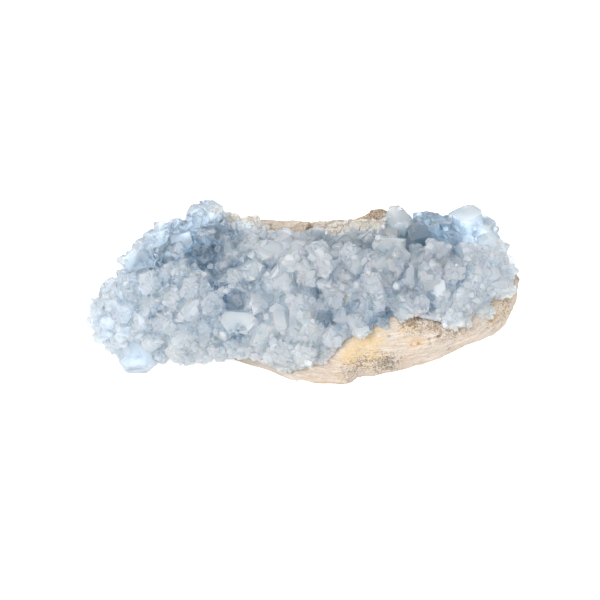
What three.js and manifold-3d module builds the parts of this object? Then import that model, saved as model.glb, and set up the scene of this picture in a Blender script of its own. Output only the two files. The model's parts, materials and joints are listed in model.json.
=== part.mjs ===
// A celestite crystal cluster: a boat-shaped piece of a geode's wall, cream limestone underneath,
// with a crust of pale blue crystals grown over its front and top round a narrow trough.
// Millimetres, +Z up, +X along the length, -Y to the front. The origin is on the surface that the
// piece rests on, under the middle of its box.
import * as THREE from 'three';
import { mergeVertices } from 'three/addons/utils/BufferGeometryUtils.js';
import { SimplexNoise } from 'three/addons/math/SimplexNoise.js';
import Module from 'manifold-3d';

const wasm = await Module();
wasm.setup();

// Outlines of the stone across its length, as [x, [[y, z], ...]]. Each outline runs from the front
// foot up the front bulge and front rim, over the bed of the crystals, to the back rim and foot.
const STONE_OUTLINES = [
  [-58, [[18, 7], [14, 9], [14, 13], [18, 18], [28, 21], [34, 20], [36, 13], [30, 6]]],
  [-48, [[17, 0], [11, 5], [11, 12], [16, 18], [30, 22], [40, 26], [43, 14], [36, 0]]],
  [-32, [[17, -2], [13, 4], [11, 12], [14, 17], [30, 23], [42, 37], [48, 18], [40, -2]]],
  [-15, [[11, -2], [7.5, 3], [7, 9], [12, 19], [28, 27], [42, 40.5], [50, 20], [42, -2]]],
  [0, [[1.5, -2], [-1.5, 2.5], [1, 6.5], [10, 20], [26, 25], [41, 41], [51, 20], [42, -2]]],
  [13, [[-1.5, -2], [-4, 3], [-3, 13], [9, 21], [26, 24], [41, 41.5], [51, 21], [42, -2]]],
  [21, [[3.5, -2], [-2, 4], [-2.5, 21], [9, 23.5], [26.5, 24], [41.5, 41], [51, 20.5], [42, -2]]],
  [28, [[6.5, -2], [-2, 6], [-2, 26], [9, 26], [27, 24], [42, 45], [51, 20], [42, -2]]],
  [37, [[9, -1.5], [-1, 7], [-2.2, 28.5], [9.5, 25.5], [26.5, 24], [42, 42], [50.5, 20], [41, -1.5]]],
  [43, [[11.5, -1], [0, 8.5], [-2, 26], [10, 25], [26, 24], [42, 39], [50, 20], [40, -1]]],
  [57, [[17, 3], [4, 10.5], [1, 22.5], [12, 26], [26, 26], [38, 34], [44, 20], [36, 3]]],
  [68, [[20, 8.5], [9.5, 11.5], [6.5, 27.5], [18, 30], [26, 29], [34, 28], [37, 20], [30, 12]]],
  [75.5, [[20.5, 17.5], [14.5, 20], [13, 30.5], [18, 32], [24, 32], [28, 29], [29, 25], [26, 20]]],
];
const STONE_TIPS = { left: [-63, 24, 15], right: [78.2, 21, 27] };

// Outlines of the crust under its crystals: lower front lip, belly, shoulder, front crest, trough,
// back crest and back edge, closed inside the stone.
const CRUST_OUTLINES = [
  [-67, [[17, 4], [11, 4.5], [11, 13], [13, 18], [17, 21], [20, 21.5], [24, 20.5], [27, 16], [24, 9]]],
  [-58, [[16, 5.5], [8.5, 7], [6, 15], [10, 24], [16, 28], [21, 29], [28, 29], [33, 23], [26, 9]]],
  [-47, [[14, 4.5], [7, 6.5], [3, 17], [8, 28], [15, 32], [23, 33], [32, 38], [38, 30], [28, 10]]],
  [-33, [[12, 6], [5, 7], [2, 17], [7, 30], [14, 35], [22, 36], [34, 47], [41, 36], [28, 12]]],
  [-18, [[10, 6], [4, 8], [1, 15], [6, 30], [14, 38], [24, 41], [31, 43], [38, 37], [26, 14]]],
  [-3, [[8, 5], [-0.5, 5], [-2, 13], [5, 30], [13, 40], [24, 39], [31, 41], [37, 36], [26, 14]]],
  [10, [[8, 7], [-2, 8], [-2, 17], [5, 32], [14, 43], [25, 32], [34, 41], [38, 35], [26, 15]]],
  [25, [[8, 16], [-1, 22], [-2, 27], [4, 36], [14, 43], [25, 31], [35, 43], [40, 38], [26, 17]]],
  [40, [[10, 18], [1, 24], [-1, 29], [4, 37], [14, 43], [26, 29], [37, 42], [41, 36], [26, 17]]],
  [52, [[12, 14.5], [1.5, 18], [0, 27], [5, 37], [15, 42.5], [26, 31], [37, 44], [42, 36], [26, 18]]],
  [63, [[14, 21], [6.5, 24.5], [5, 30], [9.5, 37], [17, 40], [25, 37], [33, 42], [37, 35], [26, 23]]],
  [71.5, [[18, 25.5], [14.5, 28], [13.5, 32], [15.5, 35], [20, 37], [24, 37], [29, 38], [31, 32], [25, 26]]],
];
const CRUST_TIPS = { left: [-71, 20, 14.5], right: [74.8, 22, 32] };

// Hollows in the crust, as [x, y, z, radius]
const HOLLOWS = [
  [-36.5, 27, 38.5, 5.5], // the valley on the left, from the back to the front
  [-32.5, 25, 36.5, 6.5],
  [-29.4, 18.8, 35, 6],
  [-25.8, 12, 33, 5.5],
  [-21.8, 6.3, 28.5, 5.5],
  [-49.3, 22.3, 34.5, 4.5], // pockets between crystals, from left to right
  [-21.5, 14.8, 35.5, 3.5],
  [-19.4, 1.3, 17.5, 3.5],
  [-9.8, 12.8, 38, 4],
  [5.1, 4.3, 32.5, 3.5],
  [9.3, -0.2, 25.5, 4.5],
  [19, -0.7, 31.5, 4],
  [30.4, -2.8, 30, 3],
  [33.8, 3.3, 38.5, 3.5],
  [45.6, 1.8, 33.5, 2.6],
  [45, -0.7, 29.5, 2.6],
];

// Crystals that stand out, as [[place], [axis], [direction of the side faces], width, reach,
// share of the width between the side faces]
const LARGE_CRYSTALS = [
  [[-55.2, 7.5, 8], [-0.02, -0.78, -0.62], [0.2, -0.6, 0.7], 11.5, 8, 0.8], // hangs under the left end
  [[-61, 8, 10.5], [-0.3, -0.8, -0.5], [0, 0, 1], 8, 2.5, 0.9],
  [[-67, 12, 10], [-0.6, -0.7, -0.4], [0, 0, 1], 7, 2.5, 0.9],
  [[-49, 8.5, 7], [0, -0.75, -0.65], [1, 0, 0.4], 7.5, 4, 0.9],
  [[-39, 8, 6.5], [-0.1, -0.8, -0.6], [1, 0, 0.2], 7.5, 4, 0.9],
  [[-54, 23.5, 31.5], [-0.6, 0.1, 0.8], [0.3, -0.95, 0.1], 9, 7, 0.3], // broken plate on the left slope
  [[-53.5, 31, 34], [-0.5, -0.2, 0.85], [0.2, 1, 0], 9.5, 2.6, 0.8],
  [[-47.5, 33, 38.7], [-0.4, 0, 0.9], [0, 1, 0], 8, 2.4, 0.9],
  [[-40, 30, 38.5], [-0.1, -0.8, 0.55], [1, 0, 0.3], 8, 3, 0.9], // above the valley
  [[-23.5, 24, 37.5], [-0.4, -0.6, 0.7], [1, 0, 0.6], 9, 3, 0.9], // right of the valley
  [[-29.2, 36.5, 43.2], [-0.1, 0, 1], [0.8, 0.6, 0], 9.5, 5.2, 0.6], // the peak
  [[-34.5, 36, 43], [-0.3, -0.1, 0.95], [0.4, 0.9, 0], 9, 3, 0.9],
  [[-24.6, 34, 42.5], [0.35, -0.3, 0.9], [0.8, 0.6, 0], 8, 3, 0.9],
  [[-19.5, 4, 21.5], [-0.15, -0.75, 0.65], [0.1, 0.7, 0.7], 12, 4, 0.7], // bright pair in the middle
  [[-6, 3.5, 24.5], [0.1, -0.9, 0.4], [1, 0, 0.2], 9, 3, 0.9],
  [[-9, 20, 39], [0.05, -0.35, 0.95], [1, 0, 0], 11, 3.4, 0.9], // flat-topped group
  [[-0.5, 19, 39], [0.3, -0.4, 0.85], [0.4, 0.9, 0.2], 10, 3.2, 0.8],
  [[31.5, 18, 41.5], [0.1, 0.45, 0.88], [1, 0, 0], 11, 4.4, 0.95], // bridges the trough
  [[35.5, 37, 40], [0, -0.15, 1], [1, 0.4, 0], 10, 5.2, 0.9], // back wall, left to right
  [[47, 37.5, 40.5], [0.05, 0, 1], [0.3, 1, 0], 7.5, 3.8, 0.9],
  [[43.5, 34, 39], [0, -0.75, 0.65], [1, 0, 0.4], 10, 2.8, 0.9],
  [[59.6, 36, 41], [-0.05, -0.1, 0.95], [1, 0.7, 0], 11, 5.6, 0.9],
  [[64.5, 33.5, 39.5], [0.3, -0.15, 0.95], [0.5, 1, 0], 9.5, 4.6, 0.9],
  [[66.5, 30, 37.5], [0.6, -0.1, 0.8], [0.2, 1, 0], 9, 3.6, 0.9],
  [[71.5, 22, 33.5], [0.9, -0.2, 0.35], [0, 0.5, 1], 9, 3.4, 0.9],
  [[52.7, 7.5, 37], [-0.05, -0.45, 0.88], [1, 0.2, 0], 6.6, 4.4, 0.95], // stands on the right mass
  [[48, 5, 34.5], [-0.15, -0.8, 0.55], [1, 0, 0.2], 6.6, 3.2, 0.9],
  [[37.8, 5.5, 38.5], [0, -0.8, 0.6], [1, 0, 0], 6.4, 2, 0.9],
  [[41.2, 0.5, 31], [0.1, -0.95, 0.2], [1, 0.1, 0], 6, 2.2, 0.9],
  [[56, 3, 23.5], [0.15, -0.9, -0.1], [0.5, 0, 1], 6, 2.8, 0.7],
  [[63.5, 6, 25], [0.4, -0.85, 0.1], [0.5, 0, 1], 6, 2.8, 0.7],
];

// Where only the large crystals grow, as [[least x, y, z], [greatest x, y, z]]
const BARE_BOXES = [
  [[-1, 18, 0], [80, 32, 40]], // the trough
  [[-24, 31, 0], [28, 60, 60]], // the stone's rim at the back
  [[-22, -10, 0], [15, 14, 11]], // the lower lip, which only carries a fine druse
];
// Widths of the crystals between the large ones and their least distance, in widths
const HOLLOW_GROWTH = { widths: [5, 6], spacing: 1 };
const LEFT_GROWTH = { widths: [6.8, 8.4], spacing: 0.75 };
const BACK_GROWTH = { widths: [7.5, 9.5], spacing: 0.76 };
const FRONT_GROWTH = { widths: [7.4, 9.4], spacing: 0.74 };
const HOLLOW_RIM = 1.5; // how far round a hollow its growth goes; nothing grows inside
const LEFT_END = -22;
const BACK_START = 29;

const SEAM = 0.3; // gap between the stone and the crust grown on it
const CRUST_CLEARANCE = 0.5; // height of the crust's lowest crystal over the surface it rests on
const CRYSTAL_REACH = [0.2, 0.42]; // how far a crystal stands out, in widths
const CRYSTAL_ROOT = 0.5; // how deep it is rooted, in widths
const CRYSTAL_LEAN = 0.45; // sine of the largest lean away from the surface's normal
const CRYSTAL_TRIES = 1900;
const LARGE_SEED = 5; // sets the shapes of the large crystals
const GROWTH_SEED = 32; // sets the places and shapes of those between them
const SIDE_FACES = 0.35; // share of the crystals that have the pair of side faces
const SMALLEST_EDGE = 0.2; // edges shorter than this are merged away
const OUT_OF_ROUND = [0.82, 1]; // distance of the prism faces, in half widths
const SHARE_BETWEEN_SIDES = [0.75, 1];
const RIDGE_LENGTH = 9; // wavelength of the crust's lumps
const RIDGE_HEIGHT = 1.2;
const LEDGE_HEIGHT = 6; // bedding of the stone
const LEDGE_DEPTH = 1.1;
const BED_SLOPE = 0.08;
const BED_WAVE = 1.5;
const BED_WAVELENGTH = 40;
const STONE_LUMP = 0.9;
const COARSE_LUMPS = [11, 8]; // wavelengths across and up
const FINE_LUMPS = [5, 4];
const FINE_SHARE = 0.5;
const STONE_STEPS = [36, 24]; // rings along the stone and points round each
const CRUST_STEPS = [28, 20];

// Celestite's interfacial angles, from its cell: prism {210}, domes {101} and {011}
const PRISM_ANGLE = THREE.MathUtils.degToRad(38);
const LONG_DOME_ANGLE = THREE.MathUtils.degToRad(39.4);
const SHORT_DOME_ANGLE = THREE.MathUtils.degToRad(52.1);
const QUARTER = Math.PI / 2;
const FLAT_TOP = [0.3, 0.8]; // share of a crystal's half width where its domes meet its flat end

// A repeatable stream of numbers from 0 to 1
function randomStream(seed) {
  let state = seed;
  return () => {
    state = (state + 0x6d2b79f5) | 0;
    let t = Math.imul(state ^ (state >>> 15), 1 | state);
    t = (t + Math.imul(t ^ (t >>> 7), 61 | t)) ^ t;
    return ((t ^ (t >>> 14)) >>> 0) / 4294967296;
  };
}

const between = ([low, high], share) => low + (high - low) * share;

function solidFromGeometry(geometry) {
  const bare = geometry.index ? geometry.clone() : geometry;
  bare.deleteAttribute('normal');
  bare.deleteAttribute('uv');
  const merged = mergeVertices(bare, 1e-4);
  return new wasm.Manifold(new wasm.Mesh({
    numProp: 3,
    vertProperties: new Float32Array(merged.attributes.position.array),
    triVerts: new Uint32Array(merged.index.array),
  }));
}

function geometryFromSolid(solid) {
  const mesh = solid.getMesh();
  const geometry = new THREE.BufferGeometry();
  geometry.setAttribute('position', new THREE.BufferAttribute(mesh.vertProperties, 3));
  geometry.setIndex(new THREE.BufferAttribute(mesh.triVerts, 1));
  geometry.computeVertexNormals();
  return geometry;
}

// A closed skin through the outlines: smooth curves along the length and round each outline
function loftGeometry(outlines, tips, steps, around) {
  const rails = outlines[0][1].map((_, k) => new THREE.CatmullRomCurve3([
    new THREE.Vector3(...tips.left),
    ...outlines.map(([x, ring]) => new THREE.Vector3(x, ...ring[k])),
    new THREE.Vector3(...tips.right),
  ], false, 'centripetal'));
  const points = [new THREE.Vector3(...tips.left)];
  for (let i = 1; i < steps; i++) {
    const outline = rails.map((rail) => rail.getPoint(i / steps));
    const ring = new THREE.CatmullRomCurve3(outline, true, 'centripetal');
    for (let j = 0; j < around; j++) points.push(ring.getPoint(j / around));
  }
  points.push(new THREE.Vector3(...tips.right));
  const last = points.length - 1;
  const at = (i, j) => 1 + (i - 1) * around + (j % around);
  const faces = [];
  for (let j = 0; j < around; j++) {
    faces.push(0, at(1, j), at(1, j + 1));
    for (let i = 1; i < steps - 1; i++) {
      faces.push(at(i, j), at(i + 1, j), at(i + 1, j + 1));
      faces.push(at(i, j), at(i + 1, j + 1), at(i, j + 1));
    }
    faces.push(last, at(steps - 1, j + 1), at(steps - 1, j));
  }
  const geometry = new THREE.BufferGeometry().setFromPoints(points);
  geometry.setIndex(faces);
  geometry.computeVertexNormals();
  return geometry;
}

// Moves each vertex along its normal by the amount that shape(point, normal) gives
function displace(geometry, shape) {
  const position = geometry.attributes.position;
  const normals = geometry.attributes.normal;
  const p = new THREE.Vector3();
  const n = new THREE.Vector3();
  for (let i = 0; i < position.count; i++) {
    p.fromBufferAttribute(position, i);
    n.fromBufferAttribute(normals, i);
    const [x, y, z] = p.clone().addScaledVector(n, shape(p, n));
    position.setXYZ(i, x, y, z);
  }
  geometry.computeVertexNormals();
  return geometry;
}

// The stone, with lumps and stepped bedding, swollen by grow and cut off flat underneath
function stoneSolid(grow) {
  const noise = new SimplexNoise({ random: randomStream(11) });
  const geometry = loftGeometry(STONE_OUTLINES, STONE_TIPS, ...STONE_STEPS);
  const lumps = ({ x, y, z }, [across, up]) => noise.noise3d(x / across, y / across, z / up);
  displace(geometry, (p) => {
    const wave = BED_WAVE * noise.noise3d(p.x / BED_WAVELENGTH, p.y / BED_WAVELENGTH, 0);
    const bed = (p.z - BED_SLOPE * p.x + wave) / LEDGE_HEIGHT;
    const step = bed - Math.floor(bed);
    const lump = lumps(p, COARSE_LUMPS) + FINE_SHARE * lumps(p, FINE_LUMPS);
    return grow + STONE_LUMP * lump + LEDGE_DEPTH * (0.5 - step);
  });
  return solidFromGeometry(geometry).trimByPlane([0, 0, 1], -grow);
}

// The crust's skin under its crystals, lumpy and with its hollows cut out
function crustSkin() {
  const noise = new SimplexNoise({ random: randomStream(23) });
  const lumpy = displace(loftGeometry(CRUST_OUTLINES, CRUST_TIPS, ...CRUST_STEPS), (p) => (
    RIDGE_HEIGHT * noise.noise3d(p.x / RIDGE_LENGTH, p.y / RIDGE_LENGTH, p.z / RIDGE_LENGTH)
  ));
  const hollows = HOLLOWS.map(([x, y, z, radius]) => (
    solidFromGeometry(new THREE.DodecahedronGeometry(radius).translate(x, y, z))
  ));
  return solidFromGeometry(lumpy).subtract(wasm.Manifold.union(hollows));
}

// The growth round a place, or nothing in the bare boxes and the hollows
function growthAt(place) {
  const inBox = ([least, greatest]) => (
    place.toArray().every((value, k) => value > least[k] && value < greatest[k])
  );
  const nearHollow = (rim) => HOLLOWS.some(([x, y, z, radius]) => (
    place.distanceTo(new THREE.Vector3(x, y, z)) < radius + rim
  ));
  if (BARE_BOXES.some(inBox) || nearHollow(0)) return null;
  if (nearHollow(HOLLOW_RIM)) return HOLLOW_GROWTH;
  if (place.x < LEFT_END) return LEFT_GROWTH;
  return place.y > BACK_START ? BACK_GROWTH : FRONT_GROWTH;
}

// One crystal along +Z, cut from a block by its faces. Its root is below z = 0.
function crystalSolid(width, reach, sideShare, random) {
  const root = CRYSTAL_ROOT * width;
  const block = new THREE.BoxGeometry(2 * width, 2 * width, reach + root);
  block.translate(0, 0, (reach - root) / 2);
  let solid = solidFromGeometry(block);
  const cut = (azimuth, tilt, distance) => {
    const facing = new THREE.Vector3().setFromSphericalCoords(1, tilt, azimuth);
    solid = solid.trimByPlane([-facing.z, -facing.x, -facing.y], -distance);
  };
  const half = width / 2;
  for (const azimuth of [PRISM_ANGLE, Math.PI - PRISM_ANGLE, Math.PI + PRISM_ANGLE, -PRISM_ANGLE]) {
    cut(azimuth, QUARTER, half * between(OUT_OF_ROUND, random()));
  }
  if (sideShare) {
    cut(QUARTER, QUARTER, half * sideShare);
    cut(-QUARTER, QUARTER, half * sideShare);
  }
  const [turn, tilt] = random() < 0.5 ? [0, LONG_DOME_ANGLE] : [QUARTER, SHORT_DOME_ANGLE];
  for (const side of [turn, turn + Math.PI]) {
    const flat = half * between(FLAT_TOP, random());
    cut(side, tilt, Math.cos(tilt) * reach + Math.sin(tilt) * flat);
  }
  return solid;
}

// Stands a crystal at a place, its length along axis and its side faces turned towards across
function placed(solid, place, axis, across) {
  const long = axis.clone().normalize();
  const wide = new THREE.Vector3().crossVectors(across, long).normalize();
  const matrix = new THREE.Matrix4().makeBasis(wide, new THREE.Vector3().crossVectors(long, wide), long);
  return solid.transform(matrix.setPosition(place).elements);
}

// True where a point is inside a closed mesh, by counting the faces over it
function insideTest(geometry) {
  const position = geometry.attributes.position;
  const index = geometry.index;
  const corners = [0, 1, 2].map(() => new THREE.Vector3());
  const up = new THREE.Vector3(0.0013, 0.0017, 1).normalize();
  const ray = new THREE.Ray();
  const hit = new THREE.Vector3();
  return (point) => {
    ray.set(point, up);
    let crossings = 0;
    for (let i = 0; i < index.count; i += 3) {
      corners.forEach((corner, k) => corner.fromBufferAttribute(position, index.getX(i + k)));
      if (ray.intersectTriangle(...corners, false, hit)) crossings++;
    }
    return crossings % 2 === 1;
  };
}

function randomDirection(random) {
  return new THREE.Vector3(random() - 0.5, random() - 0.5, random() - 0.5);
}

// A place on the skin, all parts of its area equally likely, with the normal there
function skinSampler(skin, random) {
  const position = skin.attributes.position;
  const normals = skin.attributes.normal;
  const index = skin.index;
  const corner = (at) => new THREE.Vector3().fromBufferAttribute(position, index.getX(at));
  const corners = (face) => [corner(face), corner(face + 1), corner(face + 2)];
  const areas = [];
  let total = 0;
  for (let face = 0; face < index.count; face += 3) {
    total += new THREE.Triangle(...corners(face)).getArea();
    areas.push(total);
  }
  return () => {
    const pick = random() * total;
    const face = areas.findIndex((sum) => sum >= pick) * 3;
    const [a, b, c] = corners(face);
    let [u, v] = [random(), random()];
    if (u + v > 1) [u, v] = [1 - u, 1 - v];
    return {
      place: a.clone().addScaledVector(b.sub(a), u).addScaledVector(c.sub(a), v),
      normal: new THREE.Vector3().fromBufferAttribute(normals, index.getX(face)),
    };
  };
}

// The crystals that stand out, then others between them wherever the skin is outside the stone
function crystalsOn(skin, stone) {
  const shapes = randomStream(LARGE_SEED);
  const random = randomStream(GROWTH_SEED);
  const insideStone = insideTest(geometryFromSolid(stone));
  const sample = skinSampler(skin, random);
  const taken = [];
  const crystals = [];
  for (const [place, axis, across, width, reach, sideShare] of LARGE_CRYSTALS) {
    const at = new THREE.Vector3(...place);
    taken.push([at, width]);
    const crystal = crystalSolid(width, reach, sideShare, shapes);
    crystals.push(placed(crystal, at, new THREE.Vector3(...axis), new THREE.Vector3(...across)));
  }
  for (let attempt = 0; attempt < CRYSTAL_TRIES; attempt++) {
    const { place, normal } = sample();
    const growth = growthAt(place);
    if (!growth) continue;
    const width = between(growth.widths, random() ** 2);
    const apart = (size) => growth.spacing * (size + width) / 2;
    if (taken.some(([other, size]) => other.distanceTo(place) < apart(size))) continue;
    if (insideStone(place)) continue;
    taken.push([place, width]);
    const axis = normal.addScaledVector(randomDirection(random), 2 * CRYSTAL_LEAN);
    const sideShare = random() < SIDE_FACES ? between(SHARE_BETWEEN_SIDES, random()) : 0;
    const crystal = crystalSolid(width, between(CRYSTAL_REACH, random()) * width, sideShare, random);
    crystals.push(placed(crystal, place, axis, randomDirection(random)));
  }
  return crystals;
}

function largestPiece(solid) {
  return solid.decompose().sort((one, other) => other.volume() - one.volume())[0];
}

function crustSolid() {
  const skin = crustSkin();
  const crystals = crystalsOn(geometryFromSolid(skin), stoneSolid(0));
  const grown = wasm.Manifold.union([skin, ...crystals]);
  const seated = grown.subtract(stoneSolid(SEAM)).trimByPlane([0, 0, 1], CRUST_CLEARANCE);
  return largestPiece(seated.simplify(SMALLEST_EDGE));
}

function stoneMaterial() {
  return new THREE.MeshStandardMaterial({ color: 0xdccfb8, roughness: 0.9, metalness: 0 });
}

function crystalMaterial() {
  return new THREE.MeshStandardMaterial({ color: 0xbcd0e0, roughness: 0.25, metalness: 0 });
}

function part(name, solid, material) {
  const mesh = new THREE.Mesh(geometryFromSolid(solid), material);
  mesh.name = name;
  return mesh;
}

const cluster = new THREE.Group();
cluster.add(part('limestone_matrix', stoneSolid(0), stoneMaterial()));
cluster.add(part('celestite_crust', crustSolid(), crystalMaterial()));

// Puts the origin under the middle of the box
const box = new THREE.Box3().setFromObject(cluster);
const middle = box.getCenter(new THREE.Vector3());
cluster.position.set(-middle.x, -middle.y, -box.min.z);

export default cluster;
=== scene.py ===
"""Looks of a celestite crystal cluster: a crust of grown-together crystals over a limestone base.

Lengths in the tables and formulas below are in millimetres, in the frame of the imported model.
"""

import json
import math

import bmesh
import bpy
import numpy as np
from bpy.props import FloatProperty, FloatVectorProperty, IntProperty, PointerProperty
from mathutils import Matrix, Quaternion, Vector, noise
from mathutils.bvhtree import BVHTree

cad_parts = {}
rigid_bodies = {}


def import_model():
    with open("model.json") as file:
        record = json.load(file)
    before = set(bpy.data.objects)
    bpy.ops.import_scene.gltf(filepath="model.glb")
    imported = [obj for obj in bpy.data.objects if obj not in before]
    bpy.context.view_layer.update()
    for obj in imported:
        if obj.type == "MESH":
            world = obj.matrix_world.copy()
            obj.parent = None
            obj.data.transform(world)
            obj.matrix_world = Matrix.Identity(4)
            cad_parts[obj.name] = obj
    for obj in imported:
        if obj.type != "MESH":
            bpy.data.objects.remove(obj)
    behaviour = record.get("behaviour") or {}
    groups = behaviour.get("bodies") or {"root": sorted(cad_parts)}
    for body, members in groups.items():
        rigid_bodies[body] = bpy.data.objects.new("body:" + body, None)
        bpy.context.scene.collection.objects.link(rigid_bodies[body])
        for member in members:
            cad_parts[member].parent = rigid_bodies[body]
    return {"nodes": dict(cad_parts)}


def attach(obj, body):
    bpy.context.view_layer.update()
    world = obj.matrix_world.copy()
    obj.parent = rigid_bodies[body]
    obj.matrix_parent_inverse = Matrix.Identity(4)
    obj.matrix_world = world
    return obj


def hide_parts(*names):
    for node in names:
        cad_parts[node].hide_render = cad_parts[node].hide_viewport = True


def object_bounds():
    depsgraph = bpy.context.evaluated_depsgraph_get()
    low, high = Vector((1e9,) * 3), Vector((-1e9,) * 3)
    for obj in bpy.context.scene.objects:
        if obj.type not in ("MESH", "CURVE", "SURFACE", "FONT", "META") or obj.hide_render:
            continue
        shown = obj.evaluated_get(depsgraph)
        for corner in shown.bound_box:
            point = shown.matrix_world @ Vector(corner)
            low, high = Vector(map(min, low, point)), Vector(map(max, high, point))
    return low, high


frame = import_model()
CAD_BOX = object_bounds()

bl_info = {
    "name": "Celestite Crystal Cluster",
    "version": (1, 0, 0),
    "blender": (4, 5, 0),
    "location": "View3D > Sidebar > Celestite",
    "description": "A crust of pale blue celestite crystals on a limestone base, with a plain stage",
    "category": "Mesh",
}

MM = 0.001
TINY = 1e-12  # keeps a division from failing
JOIN_WITHIN = 1e-6  # metres; vertices nearer than this become one

# Celestite's angles: how far its prism faces turn from +X, and how far its domes tilt from level
PRISM = math.radians(38.0)
LONG_DOME = math.radians(39.4)
SHORT_DOME = math.radians(52.1)

# Large crystals of the solid that stay clear of small ones, as (x, y, z, radius)
CLEAN_CRYSTALS = [
    (-57.2, -18.4, 5.0, 9.0),
    (-57.6, 0.2, 34.3, 4.5),
    (-42.1, 6.2, 39.6, 5.0),
    (-25.5, 1.4, 38.5, 4.5),
    (-31.2, 13.9, 46.3, 5.0),
    (-21.8, -19.9, 23.0, 6.5),
    (-8.0, -20.9, 25.5, 5.5),
    (-10.0, -3.4, 41.0, 4.0),
    (-2.0, -4.4, 41.0, 4.5),
    (29.8, -3.4, 44.0, 6.0),
    (33.5, 14.1, 43.0, 6.5),
    (45.1, 14.9, 42.8, 5.0),
    (41.5, 10.1, 40.5, 5.5),
    (56.4, 13.1, 43.7, 7.5),
    (63.2, 10.6, 41.7, 6.0),
    (65.7, 7.4, 39.0, 5.5),
    (70.7, -0.9, 34.0, 5.5),
    (50.6, -16.2, 39.0, 4.5),
    (45.7, -19.2, 36.0, 4.0),
    (35.8, -18.4, 39.5, 3.5),
]
CLEAN_FACE = 7.0  # square millimetres; smaller faces of those crystals carry small crystals too
CLEAN_SHARE = 0.99  # share of the seeds on their larger faces that don't grow

PATCH_EDGE = 1.3  # radii from a patch's middle at which it ends; it weakens over the last one

PLAIN_MILKINESS = 0.5
# Milky and clear patches of the crust, as (x, y, z, radius, milkiness); partly painted light and shade:
# milkier, lighter low crystals and clearer, darker crystals in the valley
MILKY_AND_PAINTED_LIGHT_PATCHES = [
    (55.0, -15.5, 33.0, 26.0, 0.85),
    (0.2, -22.5, 10.0, 20.0, 0.8),
    (-56.0, -17.5, 12.0, 18.0, 0.5),
    (-42.0, -13.5, 30.0, 10.0, 0.75),
    (-56.0, 3.0, 35.0, 9.0, 0.15),
    (-7.0, -1.0, 42.0, 11.0, 1.1),
    (0.0, -10.0, 38.0, 13.0, 0.95),
    (-37.0, 8.0, 39.0, 14.0, -0.3),
    (-31.8, 14.6, 47.0, 8.0, 0.2),
    (26.5, -25.0, 28.0, 7.0, -0.4),
    (12.0, 3.5, 36.0, 12.0, 0.2),
    (44.8, 6.7, 37.0, 15.0, -0.8),
    (61.0, 11.7, 43.0, 8.0, 0.2),
    (33.5, 14.0, 43.0, 7.0, 0.45),
    (23.0, -14.0, 38.0, 14.0, 0.65),
    (-44.0, -20.5, 10.0, 13.0, 0.8),
    (30.0, 4.0, 42.0, 9.0, 0.8),
    (-42.1, 6.2, 40.0, 4.0, -0.1),
    (-56.9, -21.3, 4.0, 7.0, -0.35),
    (-24.0, -21.8, 23.5, 5.5, 0.0),
    (-48.0, 1.0, 33.3, 5.0, -0.1),
]

# Pockets between the crystals, darkened by painted shade, as (x, y, z, radius, milkiness lost to painted
# shade)
POCKETS_WITH_PAINTED_SHADE = [
    (-37.5, 7.1, 34.6, 6.0, 0.7),
    (-36.0, 4.3, 31.4, 5.0, 0.7),
    (-33.4, -2.7, 34.7, 4.5, 0.6),
    (-30.4, -11.0, 30.5, 4.0, 0.5),
    (-27.6, -14.1, 27.5, 3.5, 0.6),
    (-24.6, -15.5, 25.6, 4.0, 0.7),
    (-11.9, -8.8, 38.2, 2.8, 0.7),
    (-23.0, -8.4, 36.6, 2.8, 0.6),
    (6.0, -17.3, 31.5, 3.0, 0.6),
    (15.8, -21.6, 30.6, 3.0, 0.6),
    (8.2, -20.8, 24.2, 3.2, 0.8),
    (28.4, -24.0, 30.0, 2.4, 0.5),
    (43.0, -22.6, 30.5, 2.6, 0.8),
    (-21.4, -21.3, 17.5, 2.8, 0.5),
]

# Crystals with stone dust on them, as (x, y, z, radius, strength)
DUSTY_PATCHES = [
    (-32.0, 13.0, 50.0, 8.0, 0.55),
    (-29.5, 11.0, 49.5, 5.5, 0.65),
    (-23.5, 10.5, 46.5, 6.0, 0.8),
    (-18.5, 8.0, 46.5, 5.5, 0.85),
    (-12.5, 10.0, 44.5, 5.0, 0.9),
    (5.5, 12.0, 42.0, 4.0, 0.6),
    (11.5, 11.0, 43.0, 6.0, 1.0),
    (16.0, 11.5, 43.0, 4.0, 0.8),
    (20.5, 12.5, 44.0, 6.0, 1.0),
    (25.5, 12.5, 44.5, 5.5, 1.0),
    (30.8, -12.9, 43.8, 1.4, 1.3),
    (14.1, -19.0, 31.4, 1.5, 1.1),
]

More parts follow.
